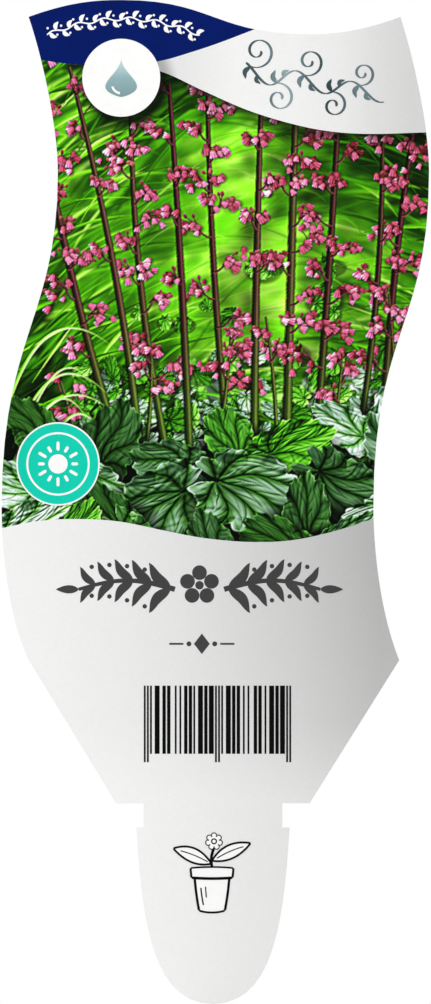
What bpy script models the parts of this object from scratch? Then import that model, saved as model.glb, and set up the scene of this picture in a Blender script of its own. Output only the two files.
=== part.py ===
"""Stick-in plant label: one die-cut sheet of white polypropylene, 0.5 mm thick.

The sheet stands upright, with its printed face towards -Y and its back in the plane y = 0.
The origin is the middle of the shoulder line on the back face: the label's head is above it,
and the push-in tongue with its two small barbs is below it. Units are metres, +Z is up.
"""

import math

import bpy

MM = 0.001

# Driving dimensions of the sheet
THICKNESS = 0.5 * MM
EDGE_ROUND = 0.04 * MM

# Head: heights above the shoulder line, and distances to the left and right of the middle
CREST_HEIGHT = 137.1 * MM
TROUGH_HEIGHT = 131.2 * MM
CORNER_HEIGHT = 134.2 * MM
BULGE_HEIGHT = 107.7 * MM
WAIST_HEIGHT = 50.4 * MM
HIP_HEIGHT = 24.4 * MM
CREST_X = -15.6 * MM
TROUGH_X = 16.7 * MM
LEFT_CORNER, RIGHT_CORNER = -31.5 * MM, 32.0 * MM
LEFT_BAY, RIGHT_BULGE = -26.5 * MM, 36.9 * MM
LEFT_BULGE, RIGHT_WAIST = -36.1 * MM, 27.4 * MM
LEFT_HIP, RIGHT_HIP = -31.4 * MM, 31.8 * MM

# Tongue: half widths, and depths below the shoulder line
SHOULDER_HALF_WIDTH = 16.5 * MM
NECK_HALF_WIDTH = 11.85 * MM
BARB_HALF_WIDTH = 13.1 * MM
BARB_DEPTH = 4.1 * MM
TONGUE_LENGTH = 34.2 * MM

# Steps along each curved stretch of the outline
CURVE_STEPS = 14

PLASTIC_COLOUR = (0.86, 0.86, 0.86, 1.0)
PLASTIC_ROUGHNESS = 0.42


def outline_anchors():
    """The outline, clockwise from the top left corner, in the label's own plane.

    Each anchor is (x, height, handle towards the previous anchor, handle towards the next one).
    A handle is an offset from its anchor, and None starts or ends a straight stretch.
    """
    return (
        (LEFT_CORNER, CORNER_HEIGHT, (2.5 * MM, -7.3 * MM), (7.1 * MM, 2.6 * MM)),
        (CREST_X, CREST_HEIGHT, (-4.3 * MM, 0), (15.6 * MM, 0)),
        (TROUGH_X, TROUGH_HEIGHT, (-16.4 * MM, 0), (6.6 * MM, 0)),
        (RIGHT_CORNER, CORNER_HEIGHT, (-3.6 * MM, -1.3 * MM), (2.4 * MM, -7.6 * MM)),
        (RIGHT_BULGE, BULGE_HEIGHT, (0, 7.6 * MM), (0, -26.6 * MM)),
        (RIGHT_WAIST, WAIST_HEIGHT, (0, 30.6 * MM), (0, -5.0 * MM)),
        (RIGHT_HIP, HIP_HEIGHT, (-3.7 * MM, 9.3 * MM), None),
        (SHOULDER_HALF_WIDTH, 0, None, None),
        (NECK_HALF_WIDTH, 0, None, None),
        (NECK_HALF_WIDTH, -BARB_DEPTH, None, None),
        (BARB_HALF_WIDTH, -BARB_DEPTH, None, (-1.0 * MM, -15.6 * MM)),
        (0, -TONGUE_LENGTH, (10.5 * MM, 0), (-10.5 * MM, 0)),
        (-BARB_HALF_WIDTH, -BARB_DEPTH, (1.0 * MM, -15.6 * MM), None),
        (-NECK_HALF_WIDTH, -BARB_DEPTH, None, None),
        (-NECK_HALF_WIDTH, 0, None, None),
        (-SHOULDER_HALF_WIDTH, 0, None, None),
        (LEFT_HIP, HIP_HEIGHT, None, (-4.1 * MM, 8.3 * MM)),
        (LEFT_BULGE, WAIST_HEIGHT, (0, -4.0 * MM), (0, 30.0 * MM)),
        (LEFT_BAY, BULGE_HEIGHT, (0, -25.3 * MM), (0, 7.2 * MM)),
    )


def clear_scene():
    """Removes whatever the open file holds, so that only the label is left."""
    for old in list(bpy.data.objects):
        bpy.data.objects.remove(old, do_unlink=True)


def plastic():
    """White polypropylene sheet with a satin surface."""
    material = bpy.data.materials.new("white_polypropylene")
    material.use_nodes = True
    shader = material.node_tree.nodes["Principled BSDF"]
    shader.inputs["Base Color"].default_value = PLASTIC_COLOUR
    shader.inputs["Roughness"].default_value = PLASTIC_ROUGHNESS
    shader.inputs["Metallic"].default_value = 0.0
    return material


def set_handle(point, side, offset):
    """Gives one side of a Bezier point a free handle, or a straight one where offset is None."""
    setattr(point, f"handle_{side}_type", "VECTOR" if offset is None else "FREE")
    if offset is not None:
        x, height, _ = point.co
        setattr(point, f"handle_{side}", (x + offset[0], height + offset[1], 0))


def label_curve():
    """The outline as a filled flat curve, with the thickness of the sheet and rounded edges."""
    curve = bpy.data.curves.new("label", "CURVE")
    curve.dimensions = "2D"
    curve.fill_mode = "BOTH"
    curve.resolution_u = CURVE_STEPS
    curve.extrude = THICKNESS / 2 - EDGE_ROUND
    curve.bevel_depth = EDGE_ROUND
    curve.bevel_resolution = 1
    curve.offset = -EDGE_ROUND
    anchors = outline_anchors()
    spline = curve.splines.new("BEZIER")
    spline.bezier_points.add(len(anchors) - 1)
    spline.use_cyclic_u = True
    for point, (x, height, handle_in, handle_out) in zip(spline.bezier_points, anchors):
        point.co = (x, height, 0)
        set_handle(point, "left", handle_in)
        set_handle(point, "right", handle_out)
    return curve


def main():
    clear_scene()
    collection = bpy.data.collections.new("plant_label")
    bpy.context.scene.collection.children.link(collection)
    label = bpy.data.objects.new("label", label_curve())
    label.rotation_euler = (math.radians(90), 0, 0)
    label.location = (0, -THICKNESS / 2, 0)
    label.data.materials.append(plastic())
    collection.objects.link(label)


main()
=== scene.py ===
import bpy
import numpy as np
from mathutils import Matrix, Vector


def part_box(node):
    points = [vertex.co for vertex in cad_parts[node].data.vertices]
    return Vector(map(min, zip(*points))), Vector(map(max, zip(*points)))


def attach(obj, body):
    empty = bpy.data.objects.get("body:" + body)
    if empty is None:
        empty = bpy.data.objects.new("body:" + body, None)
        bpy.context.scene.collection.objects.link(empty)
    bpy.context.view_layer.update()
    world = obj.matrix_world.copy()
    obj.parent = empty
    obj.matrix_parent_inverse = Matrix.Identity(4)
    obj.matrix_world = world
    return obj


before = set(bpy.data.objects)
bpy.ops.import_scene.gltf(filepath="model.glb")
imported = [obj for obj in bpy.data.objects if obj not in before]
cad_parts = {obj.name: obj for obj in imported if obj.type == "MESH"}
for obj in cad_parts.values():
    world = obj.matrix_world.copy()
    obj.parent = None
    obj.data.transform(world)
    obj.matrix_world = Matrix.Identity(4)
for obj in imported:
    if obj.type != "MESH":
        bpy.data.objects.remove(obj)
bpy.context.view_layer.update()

MM = 0.001
FILM = 0.03                       # a film's step forward: more than real ink, to keep films apart
CROSSING = 0.002                  # between two shapes of one film where they cross
TOUCH = 0.001                     # places nearer than this are the same
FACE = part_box("label")[0].y / MM  # the printed face, which looks towards -Y
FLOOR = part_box("label")[0].z      # the tip of the tongue touches the floor

# The sheet's outline, from its source
HIPS, SHOULDERS, BARBS = 24.4, 0.0, -4.1  # heights where it turns
SHOULDER_HALF, NECK_HALF = 16.48, 11.85   # half widths of the head's foot and of the neck
HEAD_MIDDLE = (0.4, 85.0)                 # every point of the head's rim can be seen from here
CORNERS = {
    "right_hip": (31.8, HIPS),
    "right_top": (32.0, 134.2),
    "left_top": (-31.5, 134.2),
    "left_hip": (-31.4, HIPS),
}

# The places of the prints: waved lines that run from left to right, and round prints by middle and radius
PICTURE_FOOT = (
    (-36.2, 46.9), (-30.2, 48.11), (-23.7, 48.5), (-16.2, 48.1), (-8.2, 46.5),
    (-1.7, 45.28), (5.8, 44.6), (13.0, 44.82), (20.0, 46.23), (27.6, 48.6),
)
CORNER_FOOT = (
    (-30.2, 127.0), (-25.9, 126.3), (-22.35, 126.04), (-15.6, 125.95), (-9.04, 126.65),
    (-3.58, 128.19), (1.19, 129.79), (7.08, 132.04),
)
BAND_FOOT = (
    (-30.2, 127.0), (-25.9, 126.3), (-22.35, 126.04), (-15.6, 126.1), (-8.7, 124.78), (-1.71, 121.59),
    (5.8, 118.3), (13.31, 115.96), (19.96, 114.64), (26.96, 114.2), (36.5, 114.47),
)
BAND_START = -11.0                        # the band's left end, under the disc
DISC = (-15.66, 123.79, 6.65)
SEAL = (-26.44, 57.9, 6.85)
SEAL_RIM = 0.27                           # the width of its white rim


# Colours and shader nodes

def tone_of(code):
    """The display tones, from 0 to 1, of an sRGB hex code."""
    return np.array([int(code[i:i + 2], 16) / 255 for i in (1, 3, 5)])


def linear(tone):
    """Display tones turned into linear light, by the sRGB curve."""
    return np.where(tone <= 0.04045, tone / 12.92, ((tone + 0.055) / 1.055) ** 2.4)


def add(tree, kind, sockets=None, stops=None, **settings):
    """Adds a shader node with its settings, its sockets' values or the outputs that they are linked to,
    and the stops of a colour ramp as (place, hex code or number) pairs."""
    made = tree.nodes.new("ShaderNode" + kind)
    for name, value in settings.items():
        setattr(made, name, value)
    for name, value in (sockets or {}).items():
        if isinstance(value, bpy.types.NodeSocket):
            tree.links.new(value, made.inputs[name])
        else:
            made.inputs[name].default_value = value
    if stops:
        points = made.color_ramp.elements
        while len(points) < len(stops):
            points.new(1.0)
        for point, (place, code) in zip(points, stops):
            point.position = place
            point.color = (*linear(tone_of(code)), 1) if isinstance(code, str) else (code, code, code, 1)
    return made


# The picture: a garden in bloom, painted on a canvas of square cells in display tones

LEFT, RIGHT, LOW, HIGH = -37.0, 37.8, 42.8, 128.4   # the canvas on the face
CELL = 0.085                                        # one cell, half of the finest dot that shows
COLS, ROWS = int((RIGHT - LEFT) / CELL), int((HIGH - LOW) / CELL)
ALL = np.s_[:, :]                                   # the whole canvas
SEED = 11
SHARPEN = 0.9                                       # how much its edges are sharpened in the end

GRASS = (
    (0.0, "#030a00"), (0.15, "#0c2802"), (0.32, "#1e5804"), (0.5, "#3e9608"), (0.66, "#5ecb0c"),
    (0.82, "#86e41c"), (0.93, "#a8f03a"), (1.0, "#cef876"),
)
LIME = ((0.0, "#0a1c04"), (0.3, "#266e10"), (0.6, "#54bc1c"), (0.85, "#90e440"), (1.0, "#dcf8a8"))
FERN = (
    (0.0, "#030801"), (0.25, "#0f2e05"), (0.5, "#2a6e0e"), (0.7, "#4cae1a"), (0.85, "#76d632"),
    (1.0, "#bcf27c"),
)
SILVER = (
    (0.0, "#060f07"), (0.2, "#18321c"), (0.4, "#38613a"), (0.58, "#6a9668"), (0.76, "#a0c6ac"),
    (1.0, "#e6f5ee"),
)
STALK = ((0.0, "#131f08"), (0.4, "#3a5416"), (0.75, "#7b9638"), (1.0, "#c8d88c"))
WINE = ((0.0, "#160508"), (0.35, "#42141e"), (0.7, "#7c3e44"), (1.0, "#c89c90"))
PETAL = (
    (0.0, "#3a0a0c"), (0.2, "#84262e"), (0.42, "#c04c62"), (0.64, "#e0749c"), (0.84, "#f6a4c8"),
    (1.0, "#fee8f0"),
)
CUP = ((0.0, "#2c0b0c"), (0.5, "#7c3234"), (1.0, "#bc6e68"))
DEEP_GREEN, DEEP_RED = tone_of("#020602"), tone_of("#2e090f")


def tones(stops, value):
    """Colours read along a list of (place, hex) stops, by straight lines between them."""
    places = [place for place, _ in stops]
    colours = np.array([tone_of(code) for _, code in stops])
    return np.stack([np.interp(value, places, colours[:, k]) for k in range(3)], -1)


def bump(far, width):
    """A bell curve: 1 where `far` is 0, and falling away over `width`."""
    return np.exp(-(far / width) ** 2)


def share(value):
    """A value kept between 0 and 1."""
    return np.clip(value, 0, 1)


def cloud(size, rng):
    """Smooth noise from 0 to 1 with bumps `size` mm across: random knots joined by smooth steps."""
    knots = rng.random((int((HIGH - LOW) / size) + 3, int((RIGHT - LEFT) / size) + 3))
    u = (np.arange(COLS) + 0.5) * CELL / size
    v = (np.arange(ROWS) + 0.5) * CELL / size
    i, j = v.astype(int), u.astype(int)
    fv, fu = (v - i)[:, None], (u - j)[None, :]
    fv, fu = fv * fv * (3 - 2 * fv), fu * fu * (3 - 2 * fu)
    a, b = knots[i][:, j], knots[i][:, j + 1]
    c, d = knots[i + 1][:, j], knots[i + 1][:, j + 1]
    return (a * (1 - fu) + b * fu) * (1 - fv) + (c * (1 - fu) + d * fu) * fv


def soften(image, size):
    """A picture blurred by a Gaussian curve `size` mm wide, worked out on its frequencies."""
    pad = int(3 * size / CELL) + 1
    wide = np.pad(image, ((pad, pad), (pad, pad), (0, 0)), mode="edge")
    fz = np.fft.fftfreq(wide.shape[0])[:, None, None]
    fx = np.fft.rfftfreq(wide.shape[1])[None, :, None]
    fall = np.exp(-2 * (np.pi * size / CELL) ** 2 * (fx ** 2 + fz ** 2))
    out = np.fft.irfft2(np.fft.rfft2(wide, axes=(0, 1)) * fall, wide.shape[:2], axes=(0, 1))
    return out[pad:-pad, pad:-pad]


def window(x, z, reach):
    """The canvas cells within `reach` mm of a point: their slice, and their places from the point."""
    c0, c1 = (int(np.clip((x + d - LEFT) / CELL, 0, COLS)) for d in (-reach, reach))
    r0, r1 = (int(np.clip((z + d - LOW) / CELL, 0, ROWS)) for d in (-reach, reach))
    dx = LEFT + (np.arange(c0, c1) + 0.5) * CELL - x
    dz = LOW + (np.arange(r0, r1) + 0.5) * CELL - z
    return np.s_[r0:r1, c0:c1], *np.meshgrid(dx, dz)


def turned(dx, dz, turn, size):
    """Places from a point, turned so that u runs along `turn` and w to its left, and counted in sizes."""
    return (dx * np.cos(turn) + dz * np.sin(turn)) / size, (dz * np.cos(turn) - dx * np.sin(turn)) / size


def lay(canvas, part, colour, cover):
    """Lays a colour over part of the canvas, by the share that it covers."""
    canvas[part] += (colour - canvas[part]) * cover[..., None]


def bend(points, count):
    """Points along the Bezier curve of the given points, and the unit normals there."""
    t = np.linspace(0, 1, count)[:, None]
    rows = [np.array(point, float) + 0 * t for point in points]
    while len(rows) > 1:
        rows = [a * (1 - t) + b * t for a, b in zip(rows, rows[1:])]
    step = np.gradient(rows[0], axis=0)
    step /= np.hypot(step[:, 0], step[:, 1])[:, None] + 1e-9
    return rows[0], np.stack([-step[:, 1], step[:, 0]], -1)


def blade(canvas, points, width, shade, start=1.0, end=0.0, alpha=1.0):
    """A blade or stem along a curve: a ribbon of dense dots, averaged in the cells that they fall in. Its
    width goes from the share `start` to full at 45 % of its length and on to the share `end`. `shade`
    gives the colour from the share of the length and the place across, from -1 to 1."""
    dot_long, dot_across, fullest = 0.6 * CELL, 0.55 * CELL, 0.45
    run = np.hypot(*np.diff(np.array(points, float), axis=0).T).sum()
    count = int(run / dot_long) + 4
    line, normal = bend(points, count)
    s = np.linspace(0, 1, count)[:, None]
    half = 0.5 * width * np.interp(s, [0, fullest, 1], [start, 1, end]) + 0.25 * CELL
    across = max(3, int(width / dot_across) | 1)
    v = np.linspace(-1, 1, across)[None, :]
    col = ((line[:, :1] + normal[:, :1] * half * v - LEFT) / CELL).astype(int).ravel()
    row = ((line[:, 1:] + normal[:, 1:] * half * v - LOW) / CELL).astype(int).ravel()
    cover = (share((1.15 - np.abs(v)) * half / CELL) * share(half / (0.45 * CELL)) * alpha).ravel()
    colour = (shade(s, v) + np.zeros((count, across, 3))).reshape(-1, 3)
    inside = (col > 0) & (row > 0) & (col < COLS) & (row < ROWS)
    if not inside.any():
        return
    col, row, cover, colour = col[inside], row[inside], cover[inside], colour[inside]
    c0, r0 = col.min(), row.min()
    wide, tall = col.max() - c0 + 1, row.max() - r0 + 1
    cell = (row - r0) * wide + col - c0
    many = np.bincount(cell, minlength=wide * tall)
    hit = np.flatnonzero(many)
    covered = np.bincount(cell, cover, wide * tall)[hit] / many[hit]
    mean = np.stack([np.bincount(cell, colour[:, k], wide * tall)[hit] / many[hit] for k in range(3)], -1)
    lay(canvas, (r0 + hit // wide, c0 + hit % wide), mean, covered)


# How light the garden behind is everywhere, and lighter or darker places: strength, x, width, z and height
HAZE = 0.19
LIT_PLACES = (
    (0.84, 9, 17, 89, 21), (0.62, 4, 8, 112, 10), (0.48, -20, 14, 98, 26), (0.36, 33, 12, 90, 18),
    (0.65, -30, 7, 120, 8), (-0.10, 33, 10, 116, 9),
)


def glow(x, z):
    """How light the garden behind is, from 0 to 1: lime in the middle, darker to the right and below."""
    return share(HAZE + sum(much * bump(x - x0, width) * bump(z - z0, height)
                            for much, x0, width, z0, height in LIT_PLACES))


# The grass over the width of the picture, from 0 to 1: its lean in degrees, and by how much it falls over
GRASS_LEAN = (0, 0.35, 0.6, 1), (50, 36, 12, -16)
GRASS_FALL = (0, 0.5, 1), (20, 36, 34)


def grass(canvas, rng, count, width, long, light, spread):
    """Blades in swathes of the same lean: on the left they rise to the right, and on the right they hang
    down to the right. Each has a lit edge and a shaded one, and its tone follows the light there."""
    x0 = rng.uniform(LEFT - 14, RIGHT + 2, count)
    z0 = rng.uniform(LOW + 8, HIGH - 2, count)
    run = rng.uniform(*long, count)
    thick = rng.uniform(*width, count)
    toss = rng.normal(0, 1, (count, 4))
    for k in range(count):
        place = share((x0[k] - LEFT) / (RIGHT - LEFT))
        lean = np.radians(np.interp(place, *GRASS_LEAN) + 13 * toss[k, 0])
        tip = lean - np.radians(np.interp(place, *GRASS_FALL) + 14 * toss[k, 1])
        foot = np.array([x0[k], z0[k]])
        middle = foot + 0.55 * run[k] * np.array([np.cos(lean), np.sin(lean)])
        head = middle + 0.5 * run[k] * np.array([np.cos(tip), np.sin(tip)])
        here = glow(*middle)
        tone = np.clip(light + 0.84 * here + spread * toss[k, 2], 0.02 + 0.4 * here, 0.97)

        def shade(s, v, tone=tone, turn=np.sign(toss[k, 3])):
            lit = 0.7 + 0.34 * np.sin(np.pi * s) + 0.13 * np.tanh(2.5 * v * turn)
            rib = 0.10 * (np.abs(v - 0.45 * turn) < 0.22)
            return tones(GRASS, share(tone * (lit + rib)))

        blade(canvas, (foot, middle, head), thick[k], shade, start=0.2, end=0.05)


def bell(canvas, x, z, size, turn, light, mouth_width):
    """A small bell flower from the side, its mouth along `turn`: the crown is half an ellipse in a dark
    cup, the body widens in a straight line, and the mouth ends in three round lobes, pale at their rims.
    Two folds run down it, and it is lit from above and from the left."""
    crown_long, crown_half, mouth_at, lobe = 0.75, 0.56, 0.72, 0.26      # in sizes
    part, dx, dz = window(x, z, size * 1.35)
    u, w = turned(dx, dz, turn, size)
    crown = np.sqrt(share(1 - (np.minimum(u, 0) / crown_long) ** 2))
    half = crown_half * crown * (1 + mouth_width * share(u))
    mouth = mouth_at + lobe * np.abs(np.cos(2 * np.pi * w))
    inside = np.minimum(half - np.abs(w), 0.8 * (mouth - u))
    tone = light + 0.34 * (-0.55 * dx + 0.80 * dz) / size + 0.30 * share(u + 0.1)
    tone -= 0.28 * bump(np.abs(w) - 0.26, 0.09) * share(0.5 + u)
    tone -= 0.34 * bump(inside - 0.02, 0.07) * (u < 0.45)
    cup = share(-2.6 * u - 0.5)[..., None]
    colour = tones(PETAL, share(tone)) * (1 - cup) + tones(CUP, share(tone)) * cup
    lay(canvas, part, colour, share(inside * size / CELL + 0.5))


def bud(canvas, x, z, size, turn, light):
    """A closed bud or a seed head: an ellipse in the colour of the cups, lit from the upper left."""
    part, dx, dz = window(x, z, size * 1.6)
    u, w = turned(dx, dz, turn, size)
    tone = light + 0.4 * (-0.5 * dx + 0.8 * dz) / size
    lay(canvas, part, tones(CUP, share(tone)), share((1 - np.hypot(u, w * 1.4)) * size / CELL * 0.8 + 0.5))


def twig(canvas, points, width):
    """A fine wine-red side stalk, dark along its right side."""
    blade(canvas, points, width, lambda s, v: tones(WINE, share(0.46 - 0.33 * v + 0 * s)), end=0.7)


def tuft(canvas, rng, x, z, reach, lean, light):
    """A loose head of bells and buds on fine stalks, `reach` mm across, dark behind and lit in front."""
    part, dx, dz = window(x + 0.3 * reach * np.cos(lean), z - 0.2, reach)
    if dx.size == 0:
        return
    lay(canvas, part, DEEP_RED, 0.45 * share(1.2 - np.hypot(dx, dz * 1.3) / (0.7 * reach)))
    for _ in range(int(2.5 + 1.2 * reach)):
        way = lean + rng.normal(0, 0.8)
        far = reach * rng.uniform(0.5, 1.1)
        end = (x + far * np.cos(way), z + 0.6 * far * np.sin(way) + 0.3)
        twig(canvas, ((x - 0.6 * np.cos(lean), z - 0.7), (x, z + 0.3), end), 0.22)
        bud(canvas, *end, rng.uniform(0.3, 0.52), way, light + rng.normal(0.12, 0.15))
    many = int(2 + 2.7 * reach)
    middle = (x + 0.42 * reach * np.cos(lean), z)
    spots = rng.normal(0, 1, (many, 2)) * (0.44 * reach, 0.32 * reach) + middle
    order = np.argsort(spots[:, 1] + 0.5 * rng.normal(0, 1, many))[::-1]
    for rank, (px, pz) in enumerate(spots[order]):
        size = rng.uniform(0.55, 0.92)
        under, ux, uz = window(px + 0.12, pz - 0.22, size * 1.3)
        lay(canvas, under, DEEP_RED, 0.66 * share(1.25 - np.hypot(ux, uz) / size))
        turn = -np.pi / 2 + 0.55 * np.cos(lean) + rng.normal(0, 0.55)
        tone = light - 0.02 + 0.22 * rank / many + rng.normal(0, 0.12)
        bell(canvas, px, pz, size, turn, tone, rng.uniform(0.2, 0.6))


def spire(canvas, rng, foot, top, sway, width, light, first, pitch, fat):
    """A flowering stem: green at its foot and wine red above, with heads left and right at a pitch that
    closes towards the top."""
    middle = ((foot[0] + top[0]) / 2 + 1.6 * sway, (foot[1] + top[1]) / 2)
    points = (foot, middle, top)
    red_share = rng.uniform(0.4, 1.0)
    green_to, change = 68, 20                 # where the green ends, and how far it takes to turn red

    def shade(s, v):
        red = red_share * share((foot[1] + (top[1] - foot[1]) * s - green_to) / change)[..., None]
        tone = share(light - 0.30 * v - 0.25 * v ** 4 + 0.16 * (np.abs(v + 0.4) < 0.25))
        return tones(STALK, tone) * (1 - red) + tones(WINE, tone) * red

    blade(canvas, points, width * 1.3, lambda s, v: DEEP_RED * 0.3, start=1.15, end=0.5, alpha=0.45)
    blade(canvas, points, width, shade, start=1.15, end=0.6)
    line, _ = bend(points, 400)
    z, hand = first, 1 if rng.random() < 0.5 else -1
    while z < top[1]:
        s = (z - first) / (top[1] - first)
        x = np.interp(z, line[:, 1], line[:, 0])
        reach = fat * (1.0 - 0.35 * s) * rng.uniform(0.8, 1.15)
        far = reach * rng.uniform(0.4, 0.85)
        head = (x + hand * far, z + rng.uniform(0.0, 0.8))
        twig(canvas, ((x, z - 1.6), (x + 0.55 * hand * far, z - 1.5), head), 0.36)
        tone = light + 0.14 + rng.normal(0, 0.06)
        tuft(canvas, rng, *head, reach * 0.85, 0.25 if hand > 0 else np.pi - 0.25, tone)
        if rng.random() < 0.2 + 0.4 * s:
            tuft(canvas, rng, x - 0.4 * hand, z + 0.7, reach * 0.6, 1.2, tone)
        hand = -hand if rng.random() < 0.85 else hand
        z += pitch * (1.0 - 0.3 * s) * rng.uniform(0.75, 1.2)


def leaf(canvas, rng, x, z, size, turn, tilt, light, silver, lobes=9, shadow=0.8):
    """A round lobed leaf, drawn as a small relief. Its outline is a circle with `lobes` waves, each with
    three teeth, and a notch down to the stalk's joint, which lies off the middle. From the joint seven
    main veins fan out, and side veins leave them by turns at a sharp angle. The height is a dish with
    swellings between the veins and a ruffled edge, and its slope sets the light. Silver lies over the
    green, least along the veins."""
    reach = 1.2 * size
    part, dx, dz = window(x, z, reach)
    if min(dx.shape) < 3:
        return
    phase = rng.uniform(0, 2 * np.pi, 8)
    u, w = turned(dx, dz, turn, size)
    w = w / tilt
    u, w = u + 0.035 * np.sin(4.3 * w + phase[0]), w + 0.035 * np.sin(4.9 * u + phase[1])
    # The outline, in polar coordinates about the middle
    far, way = np.hypot(u, w), np.arctan2(w, u)
    wave = 2 * np.abs(np.cos(0.5 * lobes * way + 0.4 * np.sin(2 * way + phase[2]))) ** 0.7 - 1
    teeth = np.cos(3 * lobes * way + phase[3])
    notch = bump(np.pi - np.abs(way), 0.22)
    radius, wavy, toothed, uneven, notched = 0.88, 0.065, 0.026, 0.05, 0.42     # shares of the size
    rim = radius + wavy * wave + toothed * teeth + uneven * np.sin(2 * way + phase[4]) - notched * notch
    inside = rim - far
    # The veins, in polar coordinates about the joint
    joint, fan, farthest = 0.46, 0.62, 3    # the joint's place, the veins' angle apart, veins to a side
    p, q = u + joint, w
    run, angle = np.hypot(p, q), np.arctan2(q, p)
    angle = angle + 0.10 * np.sin(5 * run + phase[5])
    nearest = np.clip(np.round(angle / fan), -farthest, farthest)
    off = angle - nearest * fan
    along, beside = run * np.cos(off), run * np.abs(np.sin(off))
    vein = bump(beside, 0.008 + 0.020 * share(1.1 - run))
    halo = bump(beside, 0.075)
    ladder = (along - 1.25 * beside) * 2.7 + 0.5 * (off > 0) + 0.31 * nearest
    ladder = ladder + 0.10 * np.sin(11 * beside + phase[6])
    rung = np.abs(ladder - np.round(ladder))
    fork = bump(rung, 0.06) * bump(beside, 0.26) * share(run * 3.5 - 0.3)
    swell = np.sin(np.pi * share(1.7 * rung)) * share(beside * 7)
    # The relief and its light
    edge = share(1 - inside / 0.32) ** 2
    ruffle = np.sin(lobes * way + phase[7]) + 0.5 * np.sin(2 * lobes * way + phase[3])
    crumple = np.sin(13 * p + 3 * np.sin(9 * q + phase[6])) * np.sin(12 * q + phase[1])
    dish, swollen, ruffled, crumpled, vein_deep, fork_deep = 0.20, 0.012, 0.052, 0.009, 0.010, 0.004
    height = dish * far ** 2 + swollen * swell + ruffled * edge * ruffle + crumpled * crumple
    height = height - vein_deep * vein - fork_deep * fork
    slope_z, slope_x = np.gradient(height * size, CELL)
    to_left, upwards, forwards = 0.42, 0.60, 0.68                               # the way to the light
    lit = (to_left * slope_x - upwards * slope_z + forwards) / np.sqrt(1 + slope_x ** 2 + slope_z ** 2)
    tone = light * (0.20 + 1.12 * np.clip(lit, 0, 1.2)) + 0.12 * (0.95 * dz - 0.25 * dx) / size
    tone += (0.10 * swell - 0.17 * halo) * (0.4 + light) - 0.20 * vein - 0.09 * fork
    tone = share(tone + (0.10 + 0.22 * light) * bump(inside - 0.012, 0.018))
    # Its shadow on what lies below, then the leaf
    under, ux, uz = window(x + 0.08 * size, z - 0.16 * size, reach)
    dark = share(1.12 - np.hypot(ux, uz / max(tilt, 0.55)) / size)
    lay(canvas, under, DEEP_GREEN, np.clip(2.0 * dark, 0, shadow))
    patch = 0.5 + 0.5 * np.sin(3.1 * p + phase[0]) * np.sin(3.7 * q + phase[5])
    frost = share(silver * (0.75 + 0.35 * patch + 0.30 * swell - 0.65 * halo))[..., None]
    colour = tones(FERN, tone) * (1 - frost) + tones(SILVER, tone) * frost
    lay(canvas, part, colour, share(inside * size / CELL * 0.8 + 0.5))


LIME_BLADES = 9                           # in front, on the left
BAND_SHADE, BAND_REACH = 0.62, 1.5        # how dark the band's shadow is, and how far down it fades
DISC_SHADE, DISC_REACH = 0.8, 0.9
# Leaves behind the stems: middle, size, turn, tilt, light and share of silver
BACK_LEAVES = (
    (33, 71, 7.5, 0.4, 0.5, 0.98, 0.9), (25, 69, 7.0, 2.3, 0.45, 0.98, 0.9),
    (17, 70, 5.5, 1.0, 0.5, 0.9, 0.8), (3, 69, 6.0, 2.6, 0.5, 0.75, 0.9),
    (9, 70, 6.5, 0.2, 0.6, 0.86, 0.0), (-4, 71, 5.5, 1.7, 0.6, 0.84, 0.0),
    (-12, 66, 5.0, 0.5, 0.5, 0.72, 0.9), (20, 68, 6.0, 1.9, 0.5, 0.82, 0.0),
    (-19, 68, 5.5, 2.4, 0.5, 0.75, 0.0),
)
# Tall stems: x of the foot and of the top, and whether it has few heads
TALL_STEMS = (
    (-17.0, -32.0, False), (-8.0, -14.0, False), (2.5, -1.0, False), (12.5, 14.5, False),
    (17.5, 22.0, False), (29.0, 36.5, False), (-12.5, -24.5, True), (-4.0, -7.5, True), (7.0, 8.5, True),
    (24.0, 28.5, True),
)
# Short stems: x of the foot, and x and z of the top
SHORT_STEMS = ((-23, -26, 72), (-12, -10.5, 77), (0, 3, 80), (11, 9, 83), (19, 22, 76), (31, 30, 87))
# Big leaves in front: middle, size, turn, tilt, light and share of silver
FRONT_LEAVES = (
    (-30, 63, 8.0, 2.2, 0.55, 0.42, 0.3), (32, 67, 9.0, 1.0, 0.6, 0.94, 1.0),
    (23, 64, 7.5, 2.6, 0.5, 0.84, 0.9), (-18, 61, 8.5, 1.2, 0.7, 0.36, 0.5),
    (3, 62, 7.0, 2.0, 0.6, 0.60, 0.15), (13, 61, 8.5, 0.4, 0.55, 0.64, 0.0),
    (-7, 58, 7.5, 2.9, 0.6, 0.46, 0.7), (-34, 54, 8.5, 2.8, 0.5, 0.84, 0.9),
    (-22, 54, 10.0, -0.5, 0.55, 0.64, 0.8), (34, 58, 11.0, 2.3, 0.6, 0.60, 0.9),
    (22, 54, 10.0, -0.6, 0.6, 0.44, 0.7), (-9, 51, 11.0, 3.6, 0.6, 0.52, 0.8),
    (-18, 49, 8.0, 2.3, 0.6, 0.38, 0.4), (6, 53, 12.0, -0.35, 0.62, 0.60, 0.85),
    (16, 49, 8.5, 1.6, 0.5, 0.40, 0.5), (-32, 47, 9.0, 0.4, 0.5, 0.82, 0.9),
    (-24, 45, 8.0, 1.1, 0.5, 0.60, 0.1), (12, 44, 9.0, 2.6, 0.5, 0.42, 0.3),
    (30, 49, 9.5, -2.9, 0.5, 0.72, 0.9), (-13, 44, 8.5, -0.9, 0.55, 0.58, 0.5),
    (0, 44, 7.5, 2.0, 0.5, 0.40, 0.6), (23, 45, 8.0, 0.5, 0.5, 0.52, 0.8),
)


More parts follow.
